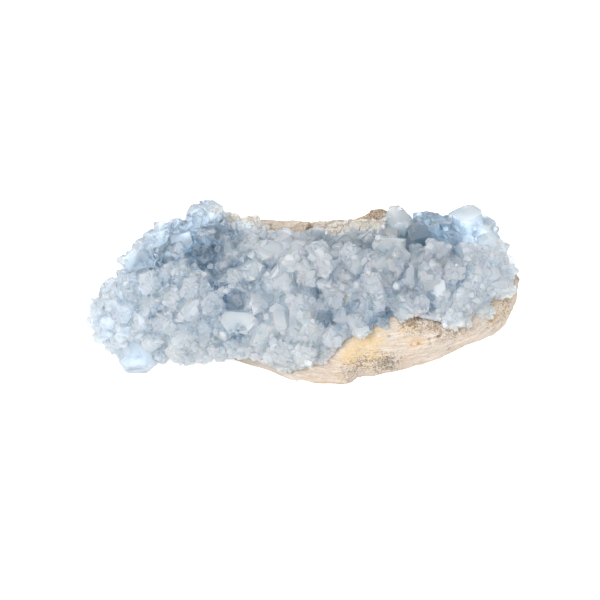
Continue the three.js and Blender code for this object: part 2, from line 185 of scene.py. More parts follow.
# Patches of the stone, as (x, y, z, radius, strength), for each stain
STONE_PATCHES = {
    "ochre": [
        (21.5, -26.0, 19.0, 9.0, 1.0),
        (16.5, -26.8, 13.0, 7.5, 1.0),
        (24.0, -25.8, 11.0, 8.0, 0.8),
        (40.0, -24.8, 17.5, 4.0, 0.7),
        (-4.0, -26.0, 3.0, 9.0, 0.4),
        (66.5, -15.0, 23.0, 10.0, 0.68),
        (36.0, -25.0, 22.0, 7.0, 0.65),
    ],
    "rust": [
        (38.0, -25.0, 17.0, 4.5, 0.8),
        (32.0, -25.5, 23.0, 3.0, 0.5),
        (13.0, -27.0, 4.5, 7.0, 0.5),
    ],
    "brown": [
        (37.5, -24.8, 27.0, 6.5, 0.8),
        (44.5, -24.0, 24.0, 6.0, 0.6),
        (53.0, -22.0, 22.0, 6.0, 0.5),
        (22.0, -25.5, 8.0, 7.5, 0.6),
        (70.5, -11.8, 26.5, 8.0, 0.65),
        (65.0, -16.5, 20.0, 6.0, 0.6),
        (3.3, 15.3, 38.7, 2.6, 1.0),
        (24.5, 17.8, 43.5, 7.5, 0.9),
    ],
    "grey": [
        (29.5, -24.5, 7.5, 6.0, 0.8),
        (15.0, -26.6, 5.5, 5.0, 0.55),
        (-21.0, -22.0, 6.0, 6.0, 0.6),
        (47.0, -23.5, 19.5, 5.0, 0.5),
        (68.0, -13.5, 21.0, 6.5, 0.45),
        (12.5, 16.5, 40.5, 6.0, 0.9),
        (-7.0, 16.0, 38.0, 10.0, 0.45),
        (1.0, 28.0, 20.0, 30.0, 0.35),
    ],
    "specks": [
        (37.5, -24.8, 26.0, 8.0, 1.0),
        (51.0, -22.5, 21.0, 8.5, 0.9),
        (44.0, -23.5, 24.0, 6.0, 0.9),
        (28.0, -24.8, 7.5, 9.0, 1.0),
        (19.0, -26.0, 7.0, 9.0, 0.9),
        (67.0, -14.5, 21.5, 10.0, 0.75),
        (24.5, 17.8, 43.5, 8.0, 0.9),
        (5.0, 16.0, 39.0, 16.0, 0.7),
        (-19.0, 16.0, 39.0, 12.0, 0.6),
    ],
}
# Single deep holes in the stone, as (x, y, z, radius)
STONE_HOLES = [
    (46.1, -23.9, 18.7, 0.9),
    (2.2, 15.6, 38.8, 1.3),
    (28.0, -25.0, 13.0, 0.7),
    (22.0, -25.6, 19.0, 0.6),
]


def distances(points, spot):
    """How far each point is from the middle of a spot."""
    return np.linalg.norm(points - np.array(spot[:3]), axis=1)


def patch_weight(points, patch):
    """How strongly a round patch covers each point, from 0 to 1."""
    return np.clip(PATCH_EDGE - distances(points, patch) / patch[3], 0.0, 1.0)


# Meshes


def add_object(name, mesh):
    piece = bpy.data.objects.new(name, mesh)
    bpy.context.scene.collection.objects.link(piece)
    return piece


def copy_of_solid(node, name):
    """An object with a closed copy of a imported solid, its split vertices joined."""
    made = bmesh.new()
    made.from_mesh(frame["nodes"][node].data)
    bmesh.ops.remove_doubles(made, verts=made.verts, dist=JOIN_WITHIN)
    mesh = bpy.data.meshes.new(name)
    made.to_mesh(mesh)
    made.free()
    return add_object(name, mesh)


def evaluated_mesh(piece):
    """The mesh that a piece's modifiers make."""
    bpy.context.view_layer.update()
    graph = bpy.context.evaluated_depsgraph_get()
    return bpy.data.meshes.new_from_object(piece.evaluated_get(graph), depsgraph=graph)


def vertex_places(mesh):
    """Places of a mesh's vertices, in millimetres."""
    places = np.empty(len(mesh.vertices) * 3)
    mesh.vertices.foreach_get("co", places)
    return places.reshape(-1, 3) / MM


def vertex_normals(mesh):
    normals = np.empty(len(mesh.vertices) * 3)
    mesh.vertex_normals.foreach_get("vector", normals)
    return normals.reshape(-1, 3)


def move_vertices(mesh, places):
    """Moves a mesh's vertices to places in millimetres."""
    mesh.vertices.foreach_set("co", (places * MM).ravel())
    mesh.update()


def store_value(mesh, name, values, domain="POINT"):
    """Keeps a number for each vertex or face, for the materials."""
    layer = mesh.attributes.new(name, "FLOAT", domain)
    layer.data.foreach_set("value", np.asarray(values, dtype=np.float32))


def triangles_of(mesh):
    """Corner places in millimetres, areas and normals of a mesh's triangles."""
    mesh.calc_loop_triangles()
    corners = np.empty(len(mesh.loop_triangles) * 3, dtype=np.int32)
    mesh.loop_triangles.foreach_get("vertices", corners)
    places = vertex_places(mesh)[corners.reshape(-1, 3)]
    crossed = np.cross(places[:, 1] - places[:, 0], places[:, 2] - places[:, 0])
    doubled = np.linalg.norm(crossed, axis=1)
    return places, doubled / 2, crossed / np.maximum(doubled, TINY)[:, None]


def add_node(tree, kind, inputs=(), **settings):
    """A node with its settings, its inputs set to values or linked to other nodes' outputs."""
    node = tree.nodes.new(kind)
    for key, value in settings.items():
        setattr(node, key, value)
    for socket, value in dict(inputs).items():
        if isinstance(value, bpy.types.NodeSocket):
            tree.links.new(value, node.inputs[socket])
        else:
            node.inputs[socket].default_value = value
    return node


# Crystals

BLOCK_WIDTH = 2.4  # crystal widths; wide enough to hold any crystal
CRYSTAL_ROOT = 0.5  # how far a crystal goes on below its seat, in its own widths
BOTH_DOMES = 0.75  # share of the crystals with both pairs of domes
JOIN_CORNERS = 1e-5  # crystal widths; corners nearer than this become one
BLOCKY_KINDS = 32
LONG_KINDS = 12
FLAT_KINDS = 12


def cut_block(planes, low, high):
    """A block from low to high, cut by planes of (facing, distance)."""
    block = bmesh.new()
    bmesh.ops.create_cube(block, size=1.0)
    for vertex in block.verts:
        x, y, z = vertex.co
        vertex.co = (BLOCK_WIDTH * x, BLOCK_WIDTH * y, low + (z + 0.5) * (high - low))
    for facing, distance in planes:
        everything = block.verts[:] + block.edges[:] + block.faces[:]
        bmesh.ops.bisect_plane(
            block, geom=everything, plane_co=facing * distance, plane_no=facing, clear_outer=True
        )
        rim = [edge for edge in block.edges if edge.is_boundary]
        if rim:
            bmesh.ops.holes_fill(block, edges=rim, sides=0)
    bmesh.ops.remove_doubles(block, verts=block.verts, dist=JOIN_CORNERS)
    bmesh.ops.recalc_face_normals(block, faces=block.faces)
    return block


def crystal_mesh(name, chance, reach, thickness, flat_top):
    """A crystal one unit wide that stands along +Z, at most reach units high."""
    planes = []
    for azimuth in (PRISM, math.pi - PRISM, math.pi + PRISM, -PRISM):
        facing = Vector((math.cos(azimuth), math.sin(azimuth), 0.0))
        planes.append((facing, 0.5 * chance.uniform(0.8, 1.0)))
    if thickness:
        for side in (1, -1):
            planes.append((Vector((0, side, 0)), 0.5 * thickness * chance.uniform(0.9, 1.1)))
    domes = [(0.0, LONG_DOME), (math.pi / 2, SHORT_DOME)]
    if chance.random() >= BOTH_DOMES:
        domes = [domes[chance.integers(2)]]
    for turn, tilt in domes:
        outward, upward = math.sin(tilt), math.cos(tilt)
        for side in (turn, turn + math.pi):
            facing = Vector((math.cos(side) * outward, math.sin(side) * outward, upward))
            meets = 0.5 * chance.uniform(0.15, 0.75)
            planes.append((facing, upward * reach + outward * meets))
    if flat_top:
        planes.append((Vector((0, 0, 1)), reach * flat_top))
    cut = cut_block(planes, -CRYSTAL_ROOT, reach)
    mesh = bpy.data.meshes.new(name)
    cut.to_mesh(mesh)
    cut.free()
    store_value(mesh, "tone", np.full(len(mesh.polygons), chance.random()), "FACE")
    return mesh


def crystal_kinds(chance):
    """Meshes of blocky, then long, then flat crystals."""
    kinds = []
    for index in range(BLOCKY_KINDS):
        thickness = chance.uniform(0.75, 1.1) if index % 2 else 0.0
        flat_top = chance.uniform(0.7, 0.95) if index % 3 == 0 else 0.0
        reach = chance.uniform(0.32, 0.55)
        kinds.append(crystal_mesh(f"blocky_{index:02d}", chance, reach, thickness, flat_top))
    for form, count, least, greatest, thickness in (
        ("long", LONG_KINDS, 0.7, 1.0, 0.8),
        ("tabular", FLAT_KINDS, 0.45, 0.7, 0.5),
    ):
        for index in range(count):
            reach = chance.uniform(least, greatest)
            kinds.append(crystal_mesh(f"{form}_{index:02d}", chance, reach, thickness, 0.0))
    return kinds


def near_any(points, spots):
    """Whether each point lies in one of the round spots."""
    return np.any([distances(points, spot) < spot[3] for spot in spots], axis=0)


# The valley between the left and middle crystals, as its middle and half its sizes
VALLEY_MIDDLE = (-35.0, 2.5, 34.0)
VALLEY_REACH = (13.0, 9.0, 9.0)


def growth_at(points):
    """Least and greatest width, spacing in widths, and share of long crystals, for each point."""
    x, y, z = points.T
    in_valley = np.linalg.norm((points - VALLEY_MIDDLE) / VALLEY_REACH, axis=1) < 1.0
    in_trough = (x > 2) & (y > -5) & (y < 8) & (z < 40)
    at_lower_front = (x < 18) & (z < 17)
    regions = [
        (near_any(points, POCKETS_WITH_PAINTED_SHADE), (1.3, 2.6, 0.6, 0.1)),
        (in_valley, (1.6, 5.0, 0.6, 0.1)),
        (in_trough, (1.6, 3.4, 0.62, 0.1)),
        (y > 8, (2.2, 5.5, 0.62, 0.12)),
        (x < -27, (1.3, 3.6, 0.6, 0.08)),
        (at_lower_front, (1.5, 4.0, 0.6, 0.4)),
        (x > 28, (1.5, 4.0, 0.6, 0.25)),
    ]
    masks = [mask for mask, _ in regions]
    default = (1.6, 4.5, 0.58, 0.1)
    return [np.select(masks, [values[k] for _, values in regions], default[k]) for k in range(4)]


SMOOTHING_REACH = 3.0
POINTS_AT_ONCE = 256  # keeps the tables of distances small


def smoothed_normals(points, corners, areas, normals):
    """The surface's direction round each point, without its small facets."""
    middles = corners.mean(axis=1)
    found = np.empty_like(points)
    for start in range(0, len(points), POINTS_AT_ONCE):
        part = points[start : start + POINTS_AT_ONCE]
        away = ((part[:, None, :] - middles[None, :, :]) ** 2).sum(2)
        weights = np.exp(-away / SMOOTHING_REACH**2) * areas[None, :]
        found[start : start + POINTS_AT_ONCE] = weights @ normals
    return found / np.linalg.norm(found, axis=1)[:, None]


FLAT_ANGLE = 0.012  # radians; triangles that turn less from each other are one flat face


def flat_faces(mesh):
    """A number for the flat face that each triangle is part of, and the area of each flat face."""
    body = bmesh.new()
    body.from_mesh(mesh)
    body.normal_update()
    body.faces.ensure_lookup_table()
    part_of = np.full(len(body.faces), -1)
    sizes = []
    for first in body.faces:
        if part_of[first.index] >= 0:
            continue
        part_of[first.index] = len(sizes)
        waiting, size = [first], 0.0
        while waiting:
            face = waiting.pop()
            size += face.calc_area() / MM**2
            for other in (near for edge in face.edges for near in edge.link_faces):
                if part_of[other.index] < 0 and other.normal.angle(first.normal, math.pi) < FLAT_ANGLE:
                    part_of[other.index] = len(sizes)
                    waiting.append(other)
        sizes.append(size)
    body.free()
    return part_of, np.array(sizes)


class SpacedPlaces:
    """Accepts places that keep their distance from those accepted before."""

    CELL = 4.0
    STEPS = [(i, j, k) for i in (-1, 0, 1) for j in (-1, 0, 1) for k in (-1, 0, 1)]

    def __init__(self):
        self.cells = {}

    def take(self, place, width, spacing):
        key = tuple(int(math.floor(value / self.CELL)) for value in place)
        for step in self.STEPS:
            cell = (key[0] + step[0], key[1] + step[1], key[2] + step[2])
            for other, size in self.cells.get(cell, ()):
                if math.dist(place, other) < spacing * (size + width) / 2:
                    return False
        self.cells.setdefault(key, []).append((place, width))
        return True


# Passes of growth: share of the places tried, and least and greatest size within the region's range
GROWTH_PASSES = [(0.012, 0.75, 1.0), (0.06, 0.4, 0.75), (1.0, 0.0, 0.4)]

LOWEST_SEED = 1.2  # least height over the floor
HIDDEN_WITHIN = 0.8  # nothing grows where the crust's underside is this near the stone
STONE_WIDTH, WIDTH_GAIN = 1.0, 0.9  # greatest width on the stone, and what each mm away adds
AROUND_SHARE, FACET_SHARE = 0.6, 0.4  # what a crystal's axis takes from the crust and its facet
FLAT_FROM = 0.85  # draws above this give a flat crystal
LONG_REACH, SHORT_REACH = 1.0, 0.7  # greatest height over the seat, in widths
TIP_HALF_WIDTH = 0.3  # in widths
BELOW_BOX, ABOVE_BOX = 1.3, 1.2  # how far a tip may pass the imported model's low and high corners
FLOOR_GAP = 0.1
LOWEST_TIP = 0.8


def scattered_places(chance, corners, areas, count):
    """Random places spread evenly over triangles, and the triangle that each is on."""
    picks = chance.choice(len(areas), size=count, p=areas / areas.sum())
    u, v = chance.random((2, count))
    over = u + v > 1
    u[over], v[over] = 1 - u[over], 1 - v[over]
    a, b, c = corners[picks, 0], corners[picks, 1], corners[picks, 2]
    return a + (b - a) * u[:, None] + (c - a) * v[:, None], picks


def sizes_in_passes(chance, count):
    """Sizes from 0 to 1 within the region's range, the large ones first."""
    sizes = np.empty(count)
    begin = 0
    for share, least, greatest in GROWTH_PASSES:
        finish = int(share * count)
        sizes[begin:finish] = chance.uniform(least, greatest, finish - begin)
        begin = finish
    return sizes


def chosen_kinds(chance, long_share):
    """The kind of each crystal, and whether it is a long one."""
    count = len(long_share)
    roll = chance.random(count)
    is_long = roll < long_share
    is_flat = ~is_long & (roll > FLAT_FROM)
    kinds = chance.integers(0, BLOCKY_KINDS, count)
    kinds[is_long] = BLOCKY_KINDS + chance.integers(0, LONG_KINDS, is_long.sum())
    kinds[is_flat] = BLOCKY_KINDS + LONG_KINDS + chance.integers(0, FLAT_KINDS, is_flat.sum())
    return kinds, is_long


def inside_box(seats, tips, axes, width):
    """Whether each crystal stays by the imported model's box and above the floor."""
    aside = TIP_HALF_WIDTH * width[:, None] * np.sqrt(1 - np.minimum(np.abs(axes), 1) ** 2)
    low, high = (np.array(corner) / MM for corner in CAD_BOX)
    inside = np.all((tips - aside > low - BELOW_BOX) & (tips + aside < high + ABOVE_BOX), axis=1)
    rise = np.abs(axes[:, 2])
    lowest = seats[:, 2] - 0.5 * width * (rise + np.sqrt(1 - np.minimum(rise, 1) ** 2))
    return inside & (lowest > FLOOR_GAP) & (tips[:, 2] > LOWEST_TIP)


def seed_points(mesh, settings):
    """Where crystals grow: seats, widths, axes, spins and kinds."""
    chance = np.random.default_rng(settings.seed)
    corners, areas, normals = triangles_of(mesh)
    part_of, face_sizes = flat_faces(mesh)
    places, picks = scattered_places(chance, corners, areas, settings.tries)
    low, high, spacing, long_share = growth_at(places)
    widths = (low + (high - low) * sizes_in_passes(chance, len(places))) * settings.crystal_scale
    on_clean = near_any(places, CLEAN_CRYSTALS) & (face_sizes[part_of[picks]] > CLEAN_FACE)
    skip = on_clean & (chance.random(len(places)) < CLEAN_SHARE)
    away, hidden = stone_nearness(places, normals[picks])
    skip |= hidden | (places[:, 2] < LOWEST_SEED)
    widths = np.minimum(widths, STONE_WIDTH + WIDTH_GAIN * away)
    spaced = SpacedPlaces()
    free = np.flatnonzero(~skip)
    kept = np.array([i for i in free if spaced.take(tuple(places[i]), widths[i], spacing[i])])
    around = smoothed_normals(places[kept], corners, areas, normals)
    lean = chance.normal(size=(len(kept), 3)) * settings.lean
    axes = AROUND_SHARE * around + FACET_SHARE * normals[picks[kept]] + lean
    axes /= np.linalg.norm(axes, axis=1)[:, None]
    spins = chance.uniform(0, 2 * math.pi, len(kept))
    kinds, is_long = chosen_kinds(chance, long_share[kept])
    width = widths[kept]
    seats = places[kept] - axes * (settings.sink * width)[:, None]
    reach = np.where(is_long, LONG_REACH, SHORT_REACH)
    tips = seats + axes * (reach * width)[:, None]
    inside = inside_box(seats, tips, axes, width)
    return [found[inside] for found in (seats, width, axes, spins, kinds)]


def stone_nearness(places, normals):
    """How far each place is from the stone, and whether the crust lies on the stone there."""
    corners, _, _ = triangles_of(frame["nodes"]["limestone_matrix"].data)
    stone = BVHTree.FromPolygons(
        [Vector(place) for place in corners.reshape(-1, 3)],
        [(3 * i, 3 * i + 1, 3 * i + 2) for i in range(len(corners))],
    )
    away = np.zeros(len(places))
    hidden = np.zeros(len(places), dtype=bool)
    for index, (place, normal) in enumerate(zip(places, normals)):
        hit, _, _, away[index] = stone.find_nearest(Vector(place))
        faces_stone = (hit - Vector(place)).dot(Vector(normal)) > 0
        hidden[index] = away[index] < HIDDEN_WITHIN and faces_stone
    return away, hidden


def points_object(places, widths, axes, spins, kinds):
    """A mesh of single points, one for each crystal, with its turn, width and kind."""
    mesh = bpy.data.meshes.new("crystal_seeds")
    mesh.from_pydata([Vector(place) * MM for place in places], [], [])
    turns = np.empty((len(places), 4))
    up = Vector((0, 0, 1))
    for index, (axis, spin) in enumerate(zip(axes, spins)):
        turns[index] = up.rotation_difference(Vector(axis)) @ Quaternion(up, spin)
    for name, kind, values in (
        ("turn", "QUATERNION", turns.ravel()),
        ("width", "FLOAT", widths * MM),
        ("kind", "INT", kinds.astype(np.int32)),
    ):
        mesh.attributes.new(name, kind, "POINT").data.foreach_set("value", values)
    return add_object("crystal_seeds", mesh)


def growth_tree(seeds, kinds_collection):
    """Geometry nodes that stand a crystal on each seed and join them all with the crust."""
    tree = bpy.data.node_groups.new("Grow crystals", "GeometryNodeTree")
    for way in ("INPUT", "OUTPUT"):
        tree.interface.new_socket("Geometry", in_out=way, socket_type="NodeSocketGeometry")

    def named(name, kind):
        node = add_node(tree, "GeometryNodeInputNamedAttribute", {"Name": name}, data_type=kind)
        return node.outputs["Attribute"]

    crust = add_node(tree, "NodeGroupInput")
    places = add_node(tree, "GeometryNodeObjectInfo", {"Object": seeds})
    kinds = add_node(
        tree,
        "GeometryNodeCollectionInfo",
        {"Collection": kinds_collection, "Separate Children": True, "Reset Children": True},
    )
    crystals = add_node(
        tree,
        "GeometryNodeInstanceOnPoints",
        {
            "Points": places.outputs["Geometry"],
            "Instance": kinds.outputs["Instances"],
            "Pick Instance": True,
            "Instance Index": named("kind", "INT"),
            "Rotation": named("turn", "QUATERNION"),
            "Scale": named("width", "FLOAT"),
        },
    )
    join = add_node(tree, "GeometryNodeMeshBoolean", operation="UNION", solver="MANIFOLD")
    tree.links.new(crust.outputs["Geometry"], join.inputs["Mesh 2"])
    tree.links.new(crystals.outputs["Instances"], join.inputs["Mesh 2"])
    add_node(tree, "NodeGroupOutput", {"Geometry": join.outputs["Mesh"]})
    return tree


def grown_crust(settings):
    """The crust's solid with its small crystals grown on and joined to it."""
    base = copy_of_solid("celestite_crust", "crust_base")
    seeds = points_object(*seed_points(base.data, settings))
    chance = np.random.default_rng(settings.seed + 1)
    part_of, sizes = flat_faces(base.data)
    store_value(base.data, "tone", chance.random(len(sizes))[part_of], "FACE")
    holder = bpy.data.collections.new("crystal_kinds")
    bpy.context.scene.collection.children.link(holder)
    for mesh in crystal_kinds(chance):
        holder.objects.link(bpy.data.objects.new(mesh.name, mesh))
    modifier = base.modifiers.new("Grow crystals", "NODES")
    modifier.node_group = growth_tree(seeds, holder)
    mesh = evaluated_mesh(base)
    for piece in [base, seeds, *holder.objects]:
        bpy.data.objects.remove(piece)
    bpy.data.collections.remove(holder)
    return mesh


def box_means(points, values, cell):
    """Mean of values in each point's cell of a grid and the cells next to it."""
    keys = np.floor(points / cell).astype(int)
    keys -= keys.min(axis=0) - 1
    shape = tuple(keys.max(axis=0) + 2)
    flat = np.ravel_multi_index(keys.T, shape)
    size = int(np.prod(shape))
    columns = (*values.T, np.ones(len(points)))
    sums = [np.bincount(flat, column, size).reshape(shape) for column in columns]
    for axis in range(3):
        sums = [np.roll(total, 1, axis) + total + np.roll(total, -1, axis) for total in sums]
    found = np.stack([total.ravel()[flat] for total in sums], axis=1)
    return found[:, :-1] / found[:, -1:]


HOLLOW_CELLS = (1.6, 3.4)  # grid cells over which the skin is averaged, for fine and broad hollows


def hollowness(mesh):
    """How far each vertex lies under the skin round it, in millimetres, seen from outside."""
    points, normals = vertex_places(mesh), vertex_normals(mesh)
    depth = np.zeros(len(points))
    for cell in HOLLOW_CELLS:
        around = box_means(points, np.hstack([points, normals]), cell)
        facing = around[:, 3:] / np.maximum(np.linalg.norm(around[:, 3:], axis=1), TINY)[:, None]
        depth += ((around[:, :3] - points) * facing).sum(axis=1)
    return depth


def milkiness_with_painted_light_and_shade(points):
    """How milky the crystals are at each point, from the tables, with painted light and shade: milkier,
    lighter low crystals and clearer, darker crystals in the valley and pockets.
    """
    milk = np.full(len(points), PLAIN_MILKINESS)
    for patch in MILKY_AND_PAINTED_LIGHT_PATCHES:
        milk += (patch[4] - milk) * patch_weight(points, patch)
    # Painted shade: the pockets lose milkiness, so their crystals look clearer and darker
    for pocket_with_painted_shade in POCKETS_WITH_PAINTED_SHADE:
        milk -= pocket_with_painted_shade[4] * patch_weight(points, pocket_with_painted_shade)
    return milk


def greatest_strength(points, patches):
    """The strength of the patch that covers each point most."""
    strength = np.zeros(len(points))
    for patch in patches:
        strength = np.maximum(strength, patch[4] * patch_weight(points, patch))
    return strength


# Stone

LEVEL_REACH = 30.0  # the beds are level this far to either side of the middle
RIGHT_BEND, RIGHT_RISE = 43.0, 19.0
LEFT_BEND, LEFT_RISE = 35.0, 7.0
WANDER_SIZE, WANDER_HEIGHT = 22.0, 1.4
PATCHY_SIZE = 9.0
THIN_BED, THIN_BED_DEPTH = 1.35, 0.3
THIN_BED_WANDER, THIN_BED_BREAKS = 5.0, 4.0  # sizes of the noise that bends and breaks them
LUMP_SIZE, LUMP_DEPTH = 5.0, 0.4
LUMP_NOISE = (0.8, 2.1, 3)  # evenness, step in size, layers
GRAIN_SIZE, GRAIN_DEPTH, ROUGH_DEPTH = 0.9, 0.2, 0.4
# Pits, as (spacing, radius in spacings, rareness, what rough stone takes off it)
PITS = ((3.6, 0.26, 0.25, 0.0), (1.5, 0.4, 0.24, 0.6))
PIT_FIELD = 7.0  # size of the stretches with and without pits
PIT_DEPTH = 0.2  # of their spacing
HOLE_DEPTH = 1.3  # of their radius
BASE_BELOW = 0.35  # what lies lower is the flat underside
SMOOTHING_ROUNDS = 14
FADE_HEIGHT = 1.5  # the relief fades out over this height above the underside


def bed_height(x, y, z):
    """Height of a point in the stone's bedding, which bends up with the base at both ends."""
    right = max(0.0, x - LEVEL_REACH) / RIGHT_BEND
    left = max(0.0, -LEVEL_REACH - x) / LEFT_BEND
    wander = noise.noise(Vector((x, y, z)) / WANDER_SIZE)
    return z - RIGHT_RISE * right**2 - LEFT_RISE * left**2 + WANDER_HEIGHT * wander


def folded(value):
    """A saw of slope one that goes up and down between 0 and 1."""
    return abs(2 * (value - math.floor(value)) - 1)


def stone_relief(x, y, z, roughness, settings):
    """How far the worn stone lies inside its solid at a point, and how pitted it is there."""
    p = Vector((x, y, z))
    bed = bed_height(x, y, z)
    ledge = bed / settings.ledge_spacing
    ledge -= math.floor(ledge)
    patchy = 0.5 + 0.5 * noise.noise(p / PATCHY_SIZE)
    depth = settings.ledge_depth * ledge**2 * patchy
    thin_beds = folded(bed / THIN_BED + 0.7 * noise.noise(p / THIN_BED_WANDER))
    broken = abs(noise.noise(p / THIN_BED_BREAKS + Vector((7, 0, 5)))) * 2
    depth += THIN_BED_DEPTH * thin_beds * broken
    depth += LUMP_DEPTH * (0.5 + noise.fractal(p / LUMP_SIZE, *LUMP_NOISE))
    grain = abs(noise.noise(p / GRAIN_SIZE + Vector((3, 1, 2))))
    depth += (GRAIN_DEPTH + ROUGH_DEPTH * roughness) * grain
    pit = 0.0
    for size, limit, rareness, eased in PITS:
        near = noise.voronoi(p / size)[0][0]
        field = noise.noise(p / PIT_FIELD + Vector((size, 0, 0)))
        if near < limit and field > rareness - eased * roughness:
            pit += (1 - (near / limit) ** 2) * size * PIT_DEPTH
    for *centre, radius in STONE_HOLES:
        away = (p - Vector(centre)).length / radius
        pit += HOLE_DEPTH * radius * max(0.0, 1.0 - away**2)
    return depth + pit, min(1.0, pit)


def smooth_mesh(mesh, moving):
    """Smooths the vertices that are marked as moving."""
    soft = bmesh.new()
    soft.from_mesh(mesh)
    loose = [vertex for vertex, moves in zip(soft.verts, moving) if moves]
    for _ in range(SMOOTHING_ROUNDS):
        bmesh.ops.smooth_vert(
            soft, verts=loose, factor=0.5, use_axis_x=True, use_axis_y=True, use_axis_z=True
        )
    soft.to_mesh(mesh)
    soft.free()


def worn_stone(settings):
    """The stone's solid with its facets smoothed away, then bedded, pitted and roughened."""
    base = copy_of_solid("limestone_matrix", "stone_base")
    remesh = base.modifiers.new("Even skin", "REMESH")
    remesh.mode = "VOXEL"
    remesh.voxel_size = settings.grain * MM
    mesh = evaluated_mesh(base)
    bpy.data.objects.remove(base)
    on_base = vertex_places(mesh)[:, 2] < BASE_BELOW
    smooth_mesh(mesh, ~on_base)
    places = vertex_places(mesh)
    normals = vertex_normals(mesh)
    pits = np.zeros(len(places))
    stains = {name: greatest_strength(places, patches) for name, patches in STONE_PATCHES.items()}
    for index, (x, y, z) in enumerate(places):
        if on_base[index]:
            places[index, 2] = 0.0
            continue
        depth, pits[index] = stone_relief(x, y, z, stains["specks"][index], settings)
        places[index] -= normals[index] * depth * min(1.0, z / FADE_HEIGHT)
    places[:, 2] = np.maximum(places[:, 2], 0.0)
    move_vertices(mesh, places)
    store_value(mesh, "pit", pits)
    store_value(mesh, "bed", [bed_height(x, y, z) for x, y, z in places])
    for name, strength in stains.items():
        store_value(mesh, name, strength)
    return mesh


# Materials

CELESTITE_IOR = 1.62
GLOW_RADIUS = (0.7, 0.85, 1.0)  # how far red, green and blue light spread under the skin
GLOW_DEPTH = 4.0
POLISH_ROUGHNESS = 0.12
DUSTY_CLEARNESS = 0.15  # share of a crystal's clearness left under thick dust
DUST_COVER, OCHRE_COVER, STAIN_COVER = 0.9, 0.9, 0.75  # how fully each hides what it lies on
SPECK_SHARE = 0.34  # how much of the stone the specks take up


class NodeKit:
    """Short ways to add shader nodes to a material."""

    def __init__(self, name):
        self.material = bpy.data.materials.new(name)
        self.material.use_nodes = True
        self.material.node_tree.nodes.clear()

    def add(self, kind, inputs=(), **settings):
        return add_node(self.material.node_tree, kind, inputs, **settings)

    def place(self):
        """Object coordinates in millimetres."""
        inputs = {0: self.add("ShaderNodeTexCoord").outputs["Object"], "Scale": 1 / MM}
        return self.add("ShaderNodeVectorMath", inputs, operation="SCALE").outputs[0]

    def value(self, name):
        """A number that the mesh keeps for each vertex or face."""
        return self.add("ShaderNodeAttribute", attribute_name=name).outputs["Fac"]

    def noise(self, place, size, detail=3.0, roughness=0.55):
        inputs = {"Vector": place, "Scale": 1 / size, "Detail": detail, "Roughness": roughness}
        return self.add("ShaderNodeTexNoise", inputs).outputs["Fac"]

    def cells(self, place, size):
        """Distance to the nearest of scattered points, in cells."""
        inputs = {"Vector": place, "Scale": 1 / size}
        return self.add("ShaderNodeTexVoronoi", inputs, feature="F1").outputs["Distance"]

    def ramp(self, value, low, high, from_value=0.0, to_value=1.0):
        """Maps low..high of a value to from_value..to_value, clamped."""
        inputs = {"Value": value, "From Min": low, "From Max": high}
        inputs |= {"To Min": from_value, "To Max": to_value}
        return self.add("ShaderNodeMapRange", inputs).outputs[0]

    def math(self, operation, first, second):
        return self.add("ShaderNodeMath", {0: first, 1: second}, operation=operation).outputs[0]

    def mix(self, share, first, second):
        """One colour laid over another, each a socket or three numbers."""
        inputs = {0: share}
        for index, item in ((6, first), (7, second)):  # a Mix node's colour sockets
            inputs[index] = item if isinstance(item, bpy.types.NodeSocket) else (*item, 1.0)
        return self.add("ShaderNodeMix", inputs, data_type="RGBA").outputs[2]

    def over(self, colour, tint, pattern, none, full, cover):
        """Lays a tint over a colour where a pattern goes from none to full."""
        return self.mix(self.ramp(pattern, none, full, 0.0, cover), colour, tint)

    def round_edges(self, radius):
        """Normals softened round the edges, as on slightly worn crystals."""
        return self.add("ShaderNodeBevel", {"Radius": radius * MM}, samples=4).outputs[0]

    def turned_from_face(self, rounded):
        """How far a softened normal turns from its face: 0 inside a face, more at its edges."""
        inputs = {0: rounded, 1: self.add("ShaderNodeNewGeometry").outputs["Normal"]}
        dot = self.add("ShaderNodeVectorMath", inputs, operation="DOT_PRODUCT")
        return self.math("SUBTRACT", 1.0, dot.outputs["Value"])

    def bump(self, height, distance, strength):
        inputs = {"Height": height, "Distance": distance * MM, "Strength": strength}
        return self.add("ShaderNodeBump", inputs).outputs[0]

    def finish(self, inputs, volume=None):
        """The material, with a principled shader that has these inputs."""
        ends = {"Surface": self.add("ShaderNodeBsdfPrincipled", inputs).outputs[0]}
        if volume:
            ends["Volume"] = volume.outputs[0]
        self.add("ShaderNodeOutputMaterial", ends)
        return self.material


